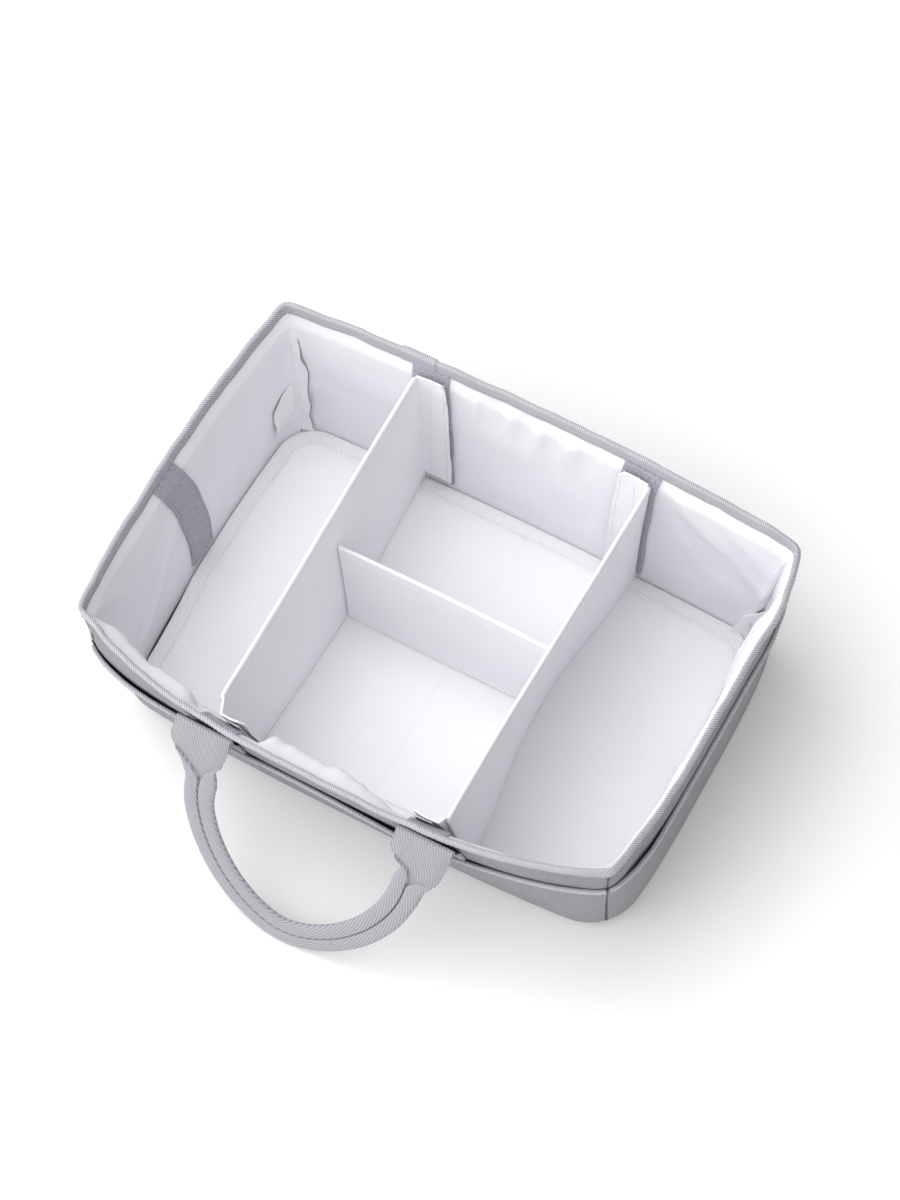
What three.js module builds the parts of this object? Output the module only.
// Diaper caddy: a soft open tote with padded walls, patch pockets, two webbing handles,
// a loose folding floor mat and a lift-out H-shaped divider held by hook-and-loop flaps.
// Millimetres, +Z up. The origin is the middle of the base, on the table; -Y is the front.
import * as THREE from "three";

// Overall shape of the tote
const HEIGHT = 160;
const BASE_LENGTH = 386;
const BASE_WIDTH = 252;
const BASE_CORNER = 34;
const BASE_BULGE = 3;
const RIM_LENGTH = 395;
const RIM_WIDTH = 272;
const RIM_CORNER = 18;
const RIM_SHIFT_X = 2;
const RIM_SHIFT_Y = -12;
const RIM_SKEW = 2.2;
const FRONT_BULGE = 26.5;
const RIGHT_BULGE = 9.5;
const BACK_BULGE = 7.5;
const LEFT_BULGE = 6;
const FRONT_FULLNESS = 3.2;
const RIGHT_FULLNESS = 3.5;
const BACK_FULLNESS = 2;
const LEFT_FULLNESS = 2.2;
const END_FLARE_POWER = 2;
const CORNER_PULL = 0.37;
const FOOT_ROUND = 16;
const FOOT_INSET = 5;

// Cloth, padding and the fit between pieces
const GAP = 0.3;
const STRIP_GAP = 0.5;
const OUTER_CLOTH = 1.2;
const FOAM = 4;
const LINING = 0.8;
const BASE_CLOTH = 1.2;
const BASE_BOARD = 2.5;

// Binding tape on the rim and on the pockets
const RIM_TAPE = 1;
const RIM_TAPE_DROP = 10;
const RIM_TAPE_ROUND = 1.8;
const POCKET_TAPE = 0.8;
const POCKET_TAPE_DROP = 8;

// Patch pockets
const POCKET_CLOTH = 1;
const POCKET_FOOT = 3;
const POCKET_TOP = 100;
const FRONT_GAPE = 9;
const BACK_GAPE = 8;
const END_GAPE = 8;
const GAPE_RISE_POWER = 1.5;
const GAPE_SPREAD_POWER = 3;

// Webbing handles: flat tabs whose edges fold in to a narrow, double grip
const WEBBING_WIDTH = 40;
const WEBBING = 1.6;
const HANDLE_SPACING = 161;
const HANDLE_OFFSET_X = -3.5;
const HANDLE_PIVOT_Z = 147;
const HANDLE_DROOP_DEGREES = 70;
const HANDLE_REACH = 145;
const HANDLE_BOW = 152;
const BOW_ROUNDNESS = 1.75;
const TAB_LENGTH = 27;
const FOLD_LENGTH = 20;
const GRIP_WIDTH = 21;
const GRIP_THICKNESS = 3.6;
const FOLD_STANDOFF = 4;
const LEG_FOOT_Z = 55;
const LEG_BEND = 24;
const WEBBING_EDGE = 0.5;
const SELVAGE = 1.6;
const SEAM_SLIT = 0.3;
const DOUBLING_SHARE = 0.25;

// Floor mat in two halves
const MAT = 4;
const MAT_CLEARANCE = 2.5;
const MAT_CORNER = 44;
const MAT_FOLD_X = 3;

// H-shaped divider
const DIVIDER_SPACING = 165;
const DIVIDER = 5;
const DIVIDER_BELOW_RIM = 12;
const DIVIDER_TOP_CORNER = 7;
const DIVIDER_EDGE_ROUND = 1.2;
const LEFT_DIVIDER_BOW = 4;
const RIGHT_DIVIDER_BOW = 12;
const CROSS_Y = -2;
const CROSS_TOP = 112;

// Hook-and-loop: strips on the walls, flaps on the divider ends
const LOOP_TAPE = 1.2;
const LOOP_TAPE_WIDTH = 40;
const LOOP_TAPE_SHOWING = 10;
const END_LOOP_WIDTH = 26;
const END_LOOP_FOOT_Y = -8;
const END_LOOP_LEAN = 25;
const END_LOOP_LEAN_POWER = 2.2;
const LOOP_FOOT_CLEARANCE = 3;
const HOOK_TAPE = 1.2;
const HOOK_MARGIN = 3;
const FLAP = 1.5;
const FLAP_WIDTH = 24;
const FLAP_FOOT_Z = 20;
const FLAP_BELOW_DIVIDER = 3;

// Inner corner seams and the blank sewn-in labels
const SEAM_DEPTH = 8;
const SEAM_THICKNESS = 1.6;
const LABEL_WIDTH = 20;
const LABEL_HEIGHT = 34;
const LABEL_FOOT_Z = 38;
const LABEL_CLOTH = 0.5;
const LABEL_PAST_RUN = 8;

// Facets, and the accuracy of places found along a wall
const ARC_STEPS = 2;
const FOOT_STEPS = 3;
const STRIP_COLUMNS = 4;
const LEG_BEND_STEPS = 6;
const FOLD_STEPS = 4;
const BOW_STEPS = 20;
const MAT_CORNER_STEPS = 8;
const BOARD_COLUMNS = 10;
const BOARD_ROWS = 5;
const BOARD_CORNER_STEPS = 4;
const TANGENT_STEP = 1e-4;
const PLACE_ROUNDS = 6;

// Heights and depths that follow from the stack of layers; depth runs inward from the outer face
const WALL = OUTER_CLOTH + GAP + FOAM + GAP + LINING;
const RIM_TAPE_ROOM = RIM_TAPE + GAP;
const WALL_TOP = HEIGHT - RIM_TAPE - 3 * GAP;
const BOARD_Z = BASE_CLOTH + GAP;
const BASE_LINING_Z = BOARD_Z + BASE_BOARD + GAP;
const MAT_Z = BASE_LINING_Z + LINING + GAP;
const DIVIDER_Z = MAT_Z + MAT + GAP;
const DIVIDER_TOP = HEIGHT - DIVIDER_BELOW_RIM;
const LOOP_DEPTH = WALL + STRIP_GAP;
const HOOK_DEPTH = LOOP_DEPTH + LOOP_TAPE + GAP;
const FLAP_DEPTH = HOOK_DEPTH + HOOK_TAPE + GAP;
const WALL_FOOT_Z = 2 * GAP;

// The four sides, in order round the plan: along is the way the side runs, out is where it faces,
// and columns and rows are its facets
const SIDES = {
  front: { along: [1, 0], out: [0, -1], bulge: FRONT_BULGE, fullness: FRONT_FULLNESS },
  right: { along: [0, 1], out: [1, 0], bulge: RIGHT_BULGE, fullness: RIGHT_FULLNESS },
  back: { along: [-1, 0], out: [0, 1], bulge: BACK_BULGE, fullness: BACK_FULLNESS },
  left: { along: [0, -1], out: [-1, 0], bulge: LEFT_BULGE, fullness: LEFT_FULLNESS },
};
Object.assign(SIDES.front, { next: SIDES.right, last: SIDES.left, gape: FRONT_GAPE, columns: 20, rows: 2 });
Object.assign(SIDES.right, { next: SIDES.back, last: SIDES.front, gape: END_GAPE, columns: 8, rows: 4 });
Object.assign(SIDES.back, { next: SIDES.left, last: SIDES.right, gape: BACK_GAPE, columns: 10, rows: 2 });
Object.assign(SIDES.left, { next: SIDES.front, last: SIDES.back, gape: END_GAPE, columns: 8, rows: 4 });
const RUN_SHARE = 0.9;
const HALF_CORNER = Math.PI / 4;

const mix = (from, to, share) => from + (to - from) * share;
const ease = (share) => THREE.MathUtils.smoothstep(share, 0, 1);
const steps = (count, from, to) =>
  Array.from({ length: count + 1 }, (_, i) => mix(from, to, i / count));

// Plan of the outer face at height z, seen from one side: the run's half length, the reach
// from the plan's middle, the corner radius, the bulge and the shift of the middle.
function sidePlan(side, z) {
  const share = Math.max(z, 0) / HEIGHT;
  const endShare = share ** END_FLARE_POWER;
  const inset = z < FOOT_ROUND ? FOOT_INSET * (1 - z / FOOT_ROUND) ** 2 : 0;
  const halfLength = mix(BASE_LENGTH, RIM_LENGTH, endShare) / 2 - inset;
  const halfWidth = mix(BASE_WIDTH, RIM_WIDTH, share) / 2 - inset;
  const corner = mix(BASE_CORNER, RIM_CORNER, share);
  const longSide = side.out[0] === 0;
  return {
    run: (longSide ? halfLength : halfWidth) - corner,
    reach: longSide ? halfWidth : halfLength,
    corner,
    bulge: mix(BASE_BULGE, side.bulge, longSide ? share : endShare),
    middle: [RIM_SHIFT_X * share, RIM_SHIFT_Y * share],
    skew: (RIM_SKEW * share) / halfWidth,
  };
}

// Point of a side's bulged run, where the share goes from -1 to 1 between its two corners
function runPoint(side, share, z) {
  const plan = sidePlan(side, z);
  const along = share * plan.run;
  const out = plan.reach + plan.bulge * (1 - Math.abs(share) ** side.fullness);
  const y = along * side.along[1] + out * side.out[1];
  const x = along * side.along[0] + out * side.out[0] + plan.skew * y;
  return new THREE.Vector2(plan.middle[0] + x, plan.middle[1] + y);
}

// Point of the corner after a side: a curve that leaves its run and meets the next side's run smoothly
function cornerPoint(side, share, z) {
  const from = runPoint(side, 1, z);
  const to = runPoint(side.next, -1, z);
  const pull = from.distanceTo(to) * CORNER_PULL;
  const leave = from.clone().sub(runPoint(side, 1 - TANGENT_STEP, z));
  const meet = to.clone().sub(runPoint(side.next, TANGENT_STEP - 1, z));
  const handles = [leave.setLength(pull).add(from), meet.setLength(pull).add(to)];
  return new THREE.CubicBezierCurve(from, ...handles, to).getPoint(share);
}

// Point of the outer face on a side: t runs from -1 to 1 between the corner seams, with the
// bulged run up to RUN_SHARE and half of a corner at each end.
function outerPoint(side, t, z) {
  const size = Math.abs(t);
  if (size <= RUN_SHARE) return runPoint(side, t / RUN_SHARE, z);
  const share = (size - RUN_SHARE) / (1 - RUN_SHARE) / 2;
  return t > 0 ? cornerPoint(side, share, z) : cornerPoint(side.last, 1 - share, z);
}

// The same point moved inward by depth along the plan's normal
function wallPoint(side, t, z, depth) {
  const before = outerPoint(side, t - TANGENT_STEP, z);
  const tangent = outerPoint(side, t + TANGENT_STEP, z).sub(before).normalize();
  const point = outerPoint(side, t, z);
  return new THREE.Vector3(point.x - tangent.y * depth, point.y + tangent.x * depth, z);
}

// The point at a depth whose place along the side, from the part's centre plane, is the distance
function wallAt(side, distance, z, depth) {
  const plan = sidePlan(side, z);
  let t = 0;
  let point = wallPoint(side, t, z, depth);
  for (let round = 0; round < PLACE_ROUNDS; round++) {
    const miss = distance - point.x * side.along[0] - point.y * side.along[1];
    t += (miss / plan.run) * RUN_SHARE;
    point = wallPoint(side, t, z, depth);
  }
  return point;
}

// Heights of a side's facet rows between two levels: close together where the foot is round
function rowsBetween(side, from, to) {
  const foot = steps(FOOT_STEPS, 0, FOOT_ROUND);
  const rise = steps(side.rows, FOOT_ROUND, HEIGHT).slice(1);
  const inside = [...foot, ...rise].filter((z) => z > from + GAP && z < to - GAP);
  return [from, ...inside, to];
}

// How far t goes before the corner seam, leaving half of the gap between neighbours
function seamShare(z, depth) {
  const corner = sidePlan(SIDES.front, z).corner - depth;
  return 1 - ((1 - RUN_SHARE) * GAP) / (2 * corner * HALF_CORNER);
}

// Sample shares along a side, dense in the corner arcs
function sideShares(side, end) {
  const arc = steps(ARC_STEPS, RUN_SHARE, end).slice(1);
  const run = steps(side.columns, -RUN_SHARE, RUN_SHARE);
  return [...arc.map((t) => -t).reverse(), ...run, ...arc];
}

// A closed sheet between two faces given as functions of a column and a row; a sheet that is
// closed along its columns is a ring.
function sheet(columns, rows, face, backFace, ring = false) {
  const points = [];
  for (const at of [face, backFace]) {
    for (let i = 0; i < columns; i++) {
      for (let j = 0; j < rows; j++) points.push(at(i, j));
    }
  }
  const spans = ring ? columns : columns - 1;
  const index = (layer, i, j) => (layer * columns + (i % columns)) * rows + j;
  const triangles = [];
  const quad = (a, b, c, d) => triangles.push(a, b, c, a, c, d);
  for (let i = 0; i < spans; i++) {
    for (let j = 0; j < rows - 1; j++) {
      quad(index(0, i, j), index(0, i + 1, j), index(0, i + 1, j + 1), index(0, i, j + 1));
      quad(index(1, i, j), index(1, i, j + 1), index(1, i + 1, j + 1), index(1, i + 1, j));
    }
    quad(index(0, i, 0), index(1, i, 0), index(1, i + 1, 0), index(0, i + 1, 0));
    const top = rows - 1;
    quad(index(0, i, top), index(0, i + 1, top), index(1, i + 1, top), index(1, i, top));
  }
  if (!ring) {
    const last = columns - 1;
    for (let j = 0; j < rows - 1; j++) {
      quad(index(0, 0, j), index(0, 0, j + 1), index(1, 0, j + 1), index(1, 0, j));
      quad(index(0, last, j), index(1, last, j), index(1, last, j + 1), index(0, last, j + 1));
    }
  }
  return facingOut(points, triangles);
}

// Turns the triangles round where their enclosed volume comes out negative
function facingOut(points, triangles) {
  let volume = 0;
  for (let k = 0; k < triangles.length; k += 3) {
    const [a, b, c] = [0, 1, 2].map((n) => points[triangles[k + n]]);
    volume += a.dot(b.clone().cross(c));
  }
  const geometry = new THREE.BufferGeometry().setFromPoints(points);
  geometry.setIndex(volume < 0 ? triangles.reverse() : triangles);
  geometry.computeVertexNormals();
  return geometry;
}

// A layer of a wall between two depths, from one corner seam to the next
function wallLayer(side, fromZ, toZ, depth, thickness) {
  const heights = rowsBetween(side, fromZ, toZ);
  const count = sideShares(side, 1).length;
  const at = (layerDepth) => (i, j) => {
    const z = heights[j];
    return wallPoint(side, sideShares(side, seamShare(z, WALL))[i], z, layerDepth);
  };
  return sheet(count, heights.length, at(depth), at(depth + thickness));
}

// A strip lying on a wall between two distances along it; lean moves it along the wall with its height
function wallStrip(side, alongs, fromZ, toZ, depth, thickness, lean = () => 0) {
  const heights = rowsBetween(side, fromZ, toZ);
  const places = steps(STRIP_COLUMNS - 1, Math.min(...alongs), Math.max(...alongs));
  const at = (layerDepth) => (i, j) => wallAt(side, places[i] + lean(heights[j]), heights[j], layerDepth);
  return sheet(STRIP_COLUMNS, heights.length, at(depth), at(depth + thickness));
}

// A flat plate that fills the plan at a height and depth
function plate(z, thickness, depth) {
  const outline = Object.values(SIDES).flatMap((side) =>
    sideShares(side, 1)
      .slice(1)
      .map((t) => wallPoint(side, t, z, depth)),
  );
  const shape = new THREE.Shape(outline.map((p) => new THREE.Vector2(p.x, p.y)));
  const geometry = new THREE.ExtrudeGeometry(shape, { depth: thickness, bevelEnabled: false });
  return geometry.translate(0, 0, z);
}

// Binding tape folded over an edge: profile points are [depth, z] on the tape's two faces
function foldedTape(outerFace, innerFace, pointAt, columns, ring) {
  const at = (profile) => (i, j) => pointAt(i, profile[j][0], profile[j][1]);
  return sheet(columns, outerFace.length, at(outerFace), at(innerFace), ring);
}

function rimTape() {
  const bottom = HEIGHT - RIM_TAPE_DROP;
  const ceiling = HEIGHT - RIM_TAPE - GAP;
  const far = WALL + RIM_TAPE_ROOM;
  const outerFace = [
    [-RIM_TAPE_ROOM, bottom],
    [-RIM_TAPE_ROOM, HEIGHT - RIM_TAPE_ROUND],
    [RIM_TAPE_ROUND - RIM_TAPE_ROOM, HEIGHT],
    [far - RIM_TAPE_ROUND, HEIGHT],
    [far, HEIGHT - RIM_TAPE_ROUND],
    [far, bottom],
  ];
  const innerFace = [
    [-GAP, bottom],
    [-GAP, ceiling - GAP],
    [0, ceiling],
    [WALL, ceiling],
    [WALL + GAP, ceiling - GAP],
    [WALL + GAP, bottom],
  ];
  const stations = Object.values(SIDES).flatMap((side) =>
    sideShares(side, 1)
      .slice(1)
      .map((t) => [side, t]),
  );
  const pointAt = (i, depth, z) => wallPoint(...stations[i], z, depth);
  return foldedTape(outerFace, innerFace, pointAt, stations.length, true);
}

// How far a pocket stands off the wall: sewn flat at the foot and the corners, open at the top
function pocketRoom(side, t, z) {
  const rise = Math.max(z - POCKET_FOOT, 0) / (POCKET_TOP - POCKET_FOOT);
  const spread = 1 - Math.abs(t) ** GAPE_SPREAD_POWER;
  return GAP + side.gape * rise ** GAPE_RISE_POWER * spread;
}

function pocketPoint(side, i, z, beyond) {
  const t = sideShares(side, seamShare(z, 0))[i];
  return wallPoint(side, t, z, -pocketRoom(side, t, z) - beyond);
}

function pocketPanel(side) {
  const tapeBottom = POCKET_TOP - POCKET_TAPE_DROP;
  const heights = [
    ...rowsBetween(side, POCKET_FOOT, POCKET_TOP / 2),
    mix(POCKET_TOP / 2, tapeBottom, 1 / 2),
    tapeBottom,
    POCKET_TOP - POCKET_TAPE - GAP,
  ];
  const at = (beyond) => (i, j) => pocketPoint(side, i, heights[j], beyond);
  return sheet(sideShares(side, 1).length, heights.length, at(POCKET_CLOTH), at(0));
}

function pocketTape(side) {
  const bottom = POCKET_TOP - POCKET_TAPE_DROP;
  const ceiling = POCKET_TOP - POCKET_TAPE;
  const outward = POCKET_CLOTH + STRIP_GAP;
  const outerFace = [
    [outward + POCKET_TAPE, bottom],
    [outward + POCKET_TAPE, POCKET_TOP],
    [-STRIP_GAP - POCKET_TAPE, POCKET_TOP],
    [-STRIP_GAP - POCKET_TAPE, bottom],
  ];
  const innerFace = [
    [outward, bottom],
    [outward, ceiling],
    [-STRIP_GAP, ceiling],
    [-STRIP_GAP, bottom],
  ];
  const count = sideShares(side, 1).length - 2;
  const pointAt = (i, beyond, z) => pocketPoint(side, i + 1, z, beyond);
  return foldedTape(outerFace, innerFace, pointAt, count, false);
}

// The fold line of a handle: where its webbing turns out from the wall just under the rim tape,
// taken at the tab edge nearest the middle, where the wall stands out most
function handlePivotY(side) {
  const innerEdge = (HANDLE_SPACING - WEBBING_WIDTH) / 2 - Math.abs(HANDLE_OFFSET_X);
  return wallAt(side, innerEdge, HANDLE_PIVOT_Z, 0).y + side.out[1] * FOLD_STANDOFF;
}

// The sewn leg of a handle: it climbs the wall inside the pocket and stands off at the fold
function handleLeg(side, middleX) {
  const bendZ = HANDLE_PIVOT_Z - LEG_BEND;
  const rise = rowsBetween(side, LEG_FOOT_Z, bendZ);
  const heights = [...rise, ...steps(LEG_BEND_STEPS, bendZ, HANDLE_PIVOT_Z).slice(1)];
  const places = steps(STRIP_COLUMNS - 1, middleX - WEBBING_WIDTH / 2, middleX + WEBBING_WIDTH / 2);
  const foldY = handlePivotY(side) - side.out[1] * (WEBBING + GAP);
  const at = (depth) => (i, j) => {
    const z = heights[j];
    const onWall = wallAt(side, places[i] * side.along[0], z, depth);
    const atFold = foldY - side.out[1] * (depth + STRIP_GAP + WEBBING / 2);
    return onWall.setY(mix(onWall.y, atFold, ease((z - bendZ) / LEG_BEND)));
  };
  return sheet(places.length, heights.length, at(-STRIP_GAP), at(-STRIP_GAP - WEBBING));
}

// Middle line of a handle in its own plane: a straight tab, then half a superellipse, mirrored
function handlePath() {
  const bowStart = TAB_LENGTH + FOLD_LENGTH;
  const outs = [0, ...steps(FOLD_STEPS, TAB_LENGTH, bowStart).slice(0, -1)];
  const spread = (out) => mix(HANDLE_SPACING, HANDLE_BOW, ease((out - TAB_LENGTH) / FOLD_LENGTH)) / 2;
  const leg = outs.map((out) => new THREE.Vector2(-spread(out), out));
  const squeeze = (share) => Math.sign(share) * Math.abs(share) ** (2 / BOW_ROUNDNESS);
  const bow = steps(BOW_STEPS, 0, Math.PI).map((angle) => {
    const out = bowStart + (HANDLE_REACH - bowStart) * squeeze(Math.sin(angle));
    return new THREE.Vector2((-HANDLE_BOW / 2) * squeeze(Math.cos(angle)), out);
  });
  const mirrored = leg.map((point) => new THREE.Vector2(-point.x, point.y)).reverse();
  return [...leg, ...bow, ...mirrored];
}

// Half of the webbing's section at a distance out from the fold line, as [offset, underside, top]:
// the edges turn in over the tab and meet along the middle of the grip, leaving a narrow slit.
function handleSection(out) {
  const folded = (out - TAB_LENGTH) / FOLD_LENGTH;
  const half = mix(WEBBING_WIDTH, GRIP_WIDTH, ease(folded)) / 2;
  const open = mix(half - SELVAGE, SEAM_SLIT, ease(folded));
  const doubled = mix(WEBBING, GRIP_THICKNESS, ease(folded / DOUBLING_SHARE));
  return [
    [open, 0, WEBBING],
    [open + WEBBING_EDGE, 0, doubled],
    [half - WEBBING_EDGE, 0, doubled],
    [half, doubled / 3, (2 * doubled) / 3],
  ];
}

// The moving part of a handle: tab, folded grip and tab in one plane that droops from the fold line
function handle(side) {
  const path = handlePath();
  const sections = path.map((point) => {
    const half = handleSection(point.y);
    const other = half.map(([offset, under, top]) => [-offset, under, top]).reverse();
    return [...other, ...half];
  });
  const droop = THREE.MathUtils.degToRad(HANDLE_DROOP_DEGREES);
  const pivotY = handlePivotY(side);
  const last = path.length - 1;
  const at = (face) => (i, j) => {
    const onTab = i === 0 || i === last;
    const chord = path[Math.min(i + 1, last)].clone().sub(path[Math.max(i - 1, 0)]);
    const tangent = onTab ? new THREE.Vector2(0, i === 0 ? 1 : -1) : chord.normalize();
    const offset = sections[i][j][0];
    const lift = sections[i][j][face] - WEBBING / 2;
    const out = path[i].y - tangent.x * offset;
    const y = out * Math.cos(droop) + lift * Math.sin(droop);
    const z = lift * Math.cos(droop) - out * Math.sin(droop);
    const x = HANDLE_OFFSET_X + path[i].x + tangent.y * offset;
    return new THREE.Vector3(x, pivotY + side.out[1] * y, HANDLE_PIVOT_Z + z);
  };
  return sheet(path.length, sections[0].length, at(2), at(1));
}

// Half of the floor mat: square at the fold, round at the tote's corners
function matHalf(sign) {
  const plan = sidePlan(SIDES.front, MAT_Z);
  const endPlan = sidePlan(SIDES.right, MAT_Z);
  const end = endPlan.reach - WALL - MAT_CLEARANCE + sign * (plan.middle[0] - MAT_FOLD_X);
  const half = plan.reach - WALL - MAT_CLEARANCE;
  const shape = new THREE.Shape();
  shape.moveTo(GAP / 2, -half);
  shape.absarc(end - MAT_CORNER, MAT_CORNER - half, MAT_CORNER, -Math.PI / 2, 0, false);
  shape.absarc(end - MAT_CORNER, half - MAT_CORNER, MAT_CORNER, 0, Math.PI / 2, false);
  shape.lineTo(GAP / 2, half);
  const options = { depth: MAT, bevelEnabled: false, curveSegments: MAT_CORNER_STEPS };
  const geometry = new THREE.ExtrudeGeometry(shape, options);
  if (sign < 0) geometry.rotateZ(Math.PI);
  return geometry.translate(MAT_FOLD_X, plan.middle[1], MAT_Z);
}

// A padded board that stands on the mat between two ends, rounded at its top corners and thinner along
// its edges. ends gives where it starts and stops at a height, and place puts a point of it in the part.
function board(top, ends, place) {
  const round = DIVIDER_EDGE_ROUND;
  const corner = DIVIDER_TOP_CORNER;
  const shoulder = top - corner;
  const rise = steps(BOARD_ROWS, FOOT_ROUND, shoulder);
  const turn = steps(BOARD_CORNER_STEPS, 0, Math.PI / 2).slice(1);
  const crown = turn.map((angle) => shoulder + corner * Math.sin(angle));
  const heights = [DIVIDER_Z, DIVIDER_Z + round, ...rise, ...crown];
  const last = BOARD_COLUMNS + 2;
  const cut = (z) => corner - Math.sqrt(corner ** 2 - Math.max(z - shoulder, 0) ** 2);
  const at = (face) => (i, j) => {
    const z = heights[j];
    const [from, to] = ends(z).map((end, n) => (n === 0 ? end + cut(z) : end - cut(z)));
    const onEdge = i === 0 || i === last || j === 0 || j === heights.length - 1;
    const inner = mix(from + round, to - round, (i - 1) / BOARD_COLUMNS);
    const along = i === 0 ? from : i === last ? to : inner;
    return place(along, face * (DIVIDER / 2 - (onEdge ? round : 0)), z);
  };
  return sheet(last + 1, heights.length, at(1), at(-1));
}

// Ends of a lengthwise board at a height: against the loop strips of the two long walls, taken
// where its two faces leave the least room
function dividerEnds(x, z) {
  const faces = [x - DIVIDER / 2, x + DIVIDER / 2];
  const fronts = faces.map((face) => wallAt(SIDES.front, face, z, HOOK_DEPTH).y);
  const backs = faces.map((face) => wallAt(SIDES.back, -face, z, HOOK_DEPTH).y);
  return [Math.max(...fronts), Math.min(...backs)];
}

// Middle plane of a lengthwise board: its foot bows towards the centre and its top edge is straight
function dividerMiddle(x, y, z) {
  const [front, back] = dividerEnds(x, z);
  const share = (2 * y - front - back) / (back - front);
  const bow = x < 0 ? LEFT_DIVIDER_BOW : -RIGHT_DIVIDER_BOW;
  const fall = (DIVIDER_TOP - z) / (DIVIDER_TOP - DIVIDER_Z);
  return x + bow * (1 - share ** 2) ** 2 * fall;
}

function longDivider(x) {
  const place = (y, offset, z) => new THREE.Vector3(dividerMiddle(x, y, z) + offset, y, z);
  return board(DIVIDER_TOP, (z) => dividerEnds(x, z), place);
}

function crossDivider() {
  const ends = (z) => {
    const room = DIVIDER / 2 + GAP;
    const left = dividerMiddle(-DIVIDER_SPACING / 2, CROSS_Y, z) + room;
    return [left, dividerMiddle(DIVIDER_SPACING / 2, CROSS_Y, z) - room];
  };
  return board(CROSS_TOP, ends, (x, offset, z) => new THREE.Vector3(x, CROSS_Y + offset, z));
}

// A flap or its hook tape: from the divider's inner face towards the middle, along the wall
function flapLayer(side, dividerX, margin, depth, thickness) {
  const sign = Math.sign(dividerX);
  const root = dividerX - sign * (DIVIDER / 2 + GAP + margin);
  const tip = dividerX - sign * (DIVIDER / 2 + GAP + FLAP_WIDTH - margin);
  const alongs = [root * side.along[0], tip * side.along[0]];
  const foot = FLAP_FOOT_Z + margin;
  const top = DIVIDER_TOP - FLAP_BELOW_DIVIDER - margin;
  return wallStrip(side, alongs, foot, top, depth, thickness);
}

// The loop strip behind a divider end: it shows a little outside the panel
function dividerLoop(side, dividerX) {
  const sign = Math.sign(dividerX);
  const outer = dividerX + sign * (DIVIDER / 2 + LOOP_TAPE_SHOWING);
  const inner = outer - sign * LOOP_TAPE_WIDTH;
  return loopStrip(side, [outer * side.along[0], inner * side.along[0]]);
}

function loopStrip(side, alongs, lean) {
  const foot = DIVIDER_Z + LOOP_FOOT_CLEARANCE;
  const top = HEIGHT - RIM_TAPE_DROP - GAP;
  return wallStrip(side, alongs, foot, top, LOOP_DEPTH, LOOP_TAPE, lean);
}

// The spare loop strip of an end wall, which leans forward in a curve towards the rim
function endLoop(side) {
  const middle = END_LOOP_FOOT_Y * side.along[1];
  const edges = [middle - END_LOOP_WIDTH / 2, middle + END_LOOP_WIDTH / 2];
  const lean = (z) => -side.along[1] * END_LOOP_LEAN * (z / HEIGHT) ** END_LOOP_LEAN_POWER;
  return loopStrip(side, edges, lean);
}

// The seam allowance that stands in an inner corner, where one side meets the next
function cornerSeam(side) {
  const heights = rowsBetween(side, DIVIDER_Z + GAP, HEIGHT - RIM_TAPE_DROP - GAP);
  const depths = [LOOP_DEPTH, LOOP_DEPTH + SEAM_DEPTH];
  const at = (face) => (i, j) => {
    const z = heights[j];
    const near = wallPoint(side, 1, z, depths[0]);
    const far = wallPoint(side, 1, z, depths[1]);
    const normal = far.clone().sub(near).normalize();
    const point = i === 0 ? near : far;
    point.x += (face * normal.y * SEAM_THICKNESS) / 2;
    point.y -= (face * normal.x * SEAM_THICKNESS) / 2;
    return point;
  };
  return sheet(depths.length, heights.length, at(1), at(-1));
}

// A blank sewn-in label on an end wall, beside the seam of the back corner
function label(side) {
  const plan = sidePlan(side, LABEL_FOOT_Z);
  const fromY = plan.middle[1] + plan.run + LABEL_PAST_RUN;
  const alongs = [fromY * side.along[1], (fromY - LABEL_WIDTH) * side.along[1]];
  const top = LABEL_FOOT_Z + LABEL_HEIGHT;
  return wallStrip(side, alongs, LABEL_FOOT_Z, top, LOOP_DEPTH, LABEL_CLOTH);
}

const finish = (color, roughness) =>
  new THREE.MeshStandardMaterial({ color, roughness, metalness: 0, side: THREE.DoubleSide });
const canvas = finish(0xa3a1a7, 0.95);
const tapeTwill = finish(0xbebcc3, 0.9);
const webbing = finish(0xaaa8af, 0.9);
const nylon = finish(0xe4e3e9, 0.6);
const padding = finish(0xefeee8, 0.95);
const loopPile = finish(0xa6a4ad, 1);
const hookPlastic = finish(0xc9c8cf, 0.7);
const labelSatin = finish(0xf6f6f8, 0.55);

const caddy = new THREE.Group();
function add(name, geometry, material) {
  const mesh = new THREE.Mesh(geometry, material);
  mesh.name = name;
  caddy.add(mesh);
}

// Padded walls: canvas outside, foam board, nylon lining
for (const [name, side] of Object.entries(SIDES)) {
  const foamDepth = OUTER_CLOTH + GAP;
  add(`${name}_outer_panel`, wallLayer(side, WALL_FOOT_Z, WALL_TOP, 0, OUTER_CLOTH), canvas);
  add(`${name}_foam`, wallLayer(side, BOARD_Z, WALL_TOP, foamDepth, FOAM), padding);
  const liningDepth = foamDepth + FOAM + GAP;
  add(`${name}_lining`, wallLayer(side, BASE_LINING_Z, WALL_TOP, liningDepth, LINING), nylon);
}
add("rim_binding", rimTape(), tapeTwill);

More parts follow.
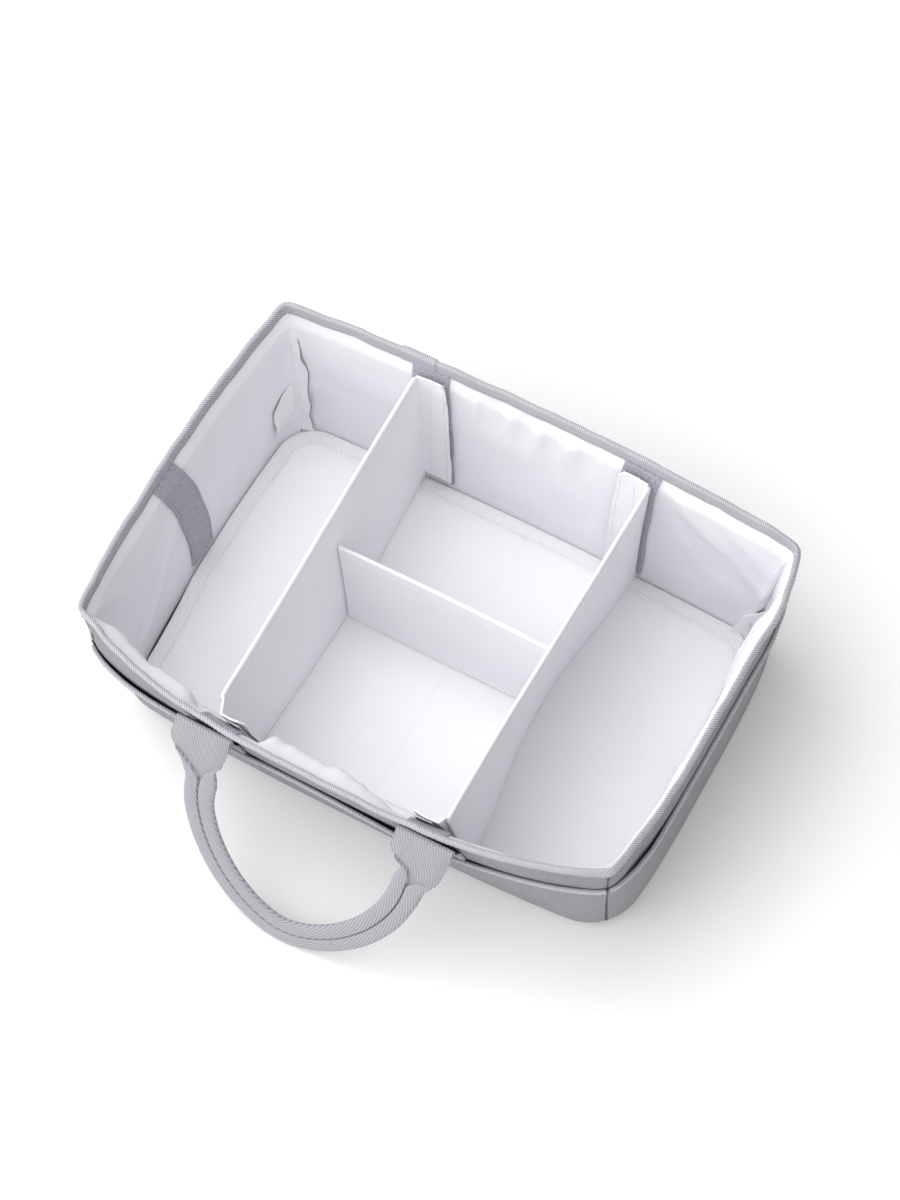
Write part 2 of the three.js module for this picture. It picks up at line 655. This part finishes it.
// Base: canvas, stiffener board, nylon lining, and the loose mat on top
add("base_outer_panel", plate(0, BASE_CLOTH, OUTER_CLOTH + GAP), canvas);
add("base_stiffener", plate(BOARD_Z, BASE_BOARD, OUTER_CLOTH + FOAM + 3 * GAP), padding);
add("base_lining", plate(BASE_LINING_Z, LINING, WALL + GAP), nylon);
add("floor_mat_left", matHalf(-1), nylon);
add("floor_mat_right", matHalf(1), nylon);

// Pockets and their bound top edges
for (const [name, side] of Object.entries(SIDES)) {
  add(`${name}_pocket`, pocketPanel(side), canvas);
  add(`${name}_pocket_binding`, pocketTape(side), tapeTwill);
}

// Handles and their sewn legs
for (const name of ["front", "back"]) {
  const side = SIDES[name];
  add(`${name}_handle_left_leg`, handleLeg(side, HANDLE_OFFSET_X - HANDLE_SPACING / 2), webbing);
  add(`${name}_handle_right_leg`, handleLeg(side, HANDLE_OFFSET_X + HANDLE_SPACING / 2), webbing);
  add(`${name}_handle`, handle(side), webbing);
}

// The H-shaped divider with its flaps, and the strips that they grip
const dividerX = { left: -DIVIDER_SPACING / 2, right: DIVIDER_SPACING / 2 };
add("cross_divider", crossDivider(), nylon);
for (const [hand, x] of Object.entries(dividerX)) {
  add(`${hand}_divider`, longDivider(x), nylon);
  for (const name of ["front", "back"]) {
    const side = SIDES[name];
    add(`${name}_${hand}_flap`, flapLayer(side, x, 0, FLAP_DEPTH, FLAP), nylon);
    add(`${name}_${hand}_hook_tape`, flapLayer(side, x, HOOK_MARGIN, HOOK_DEPTH, HOOK_TAPE), hookPlastic);
    add(`${name}_${hand}_loop_strip`, dividerLoop(side, x), loopPile);
  }
  add(`${hand}_end_loop_strip`, endLoop(SIDES[hand]), loopPile);
  add(`${hand}_label`, label(SIDES[hand]), labelSatin);
}

// Seam allowances of the lining in the four inner corners
const corners = { front_right: "front", back_right: "right", back_left: "back", front_left: "left" };
for (const [name, sideName] of Object.entries(corners))
  add(`${name}_corner_seam`, cornerSeam(SIDES[sideName]), nylon);

export default caddy;
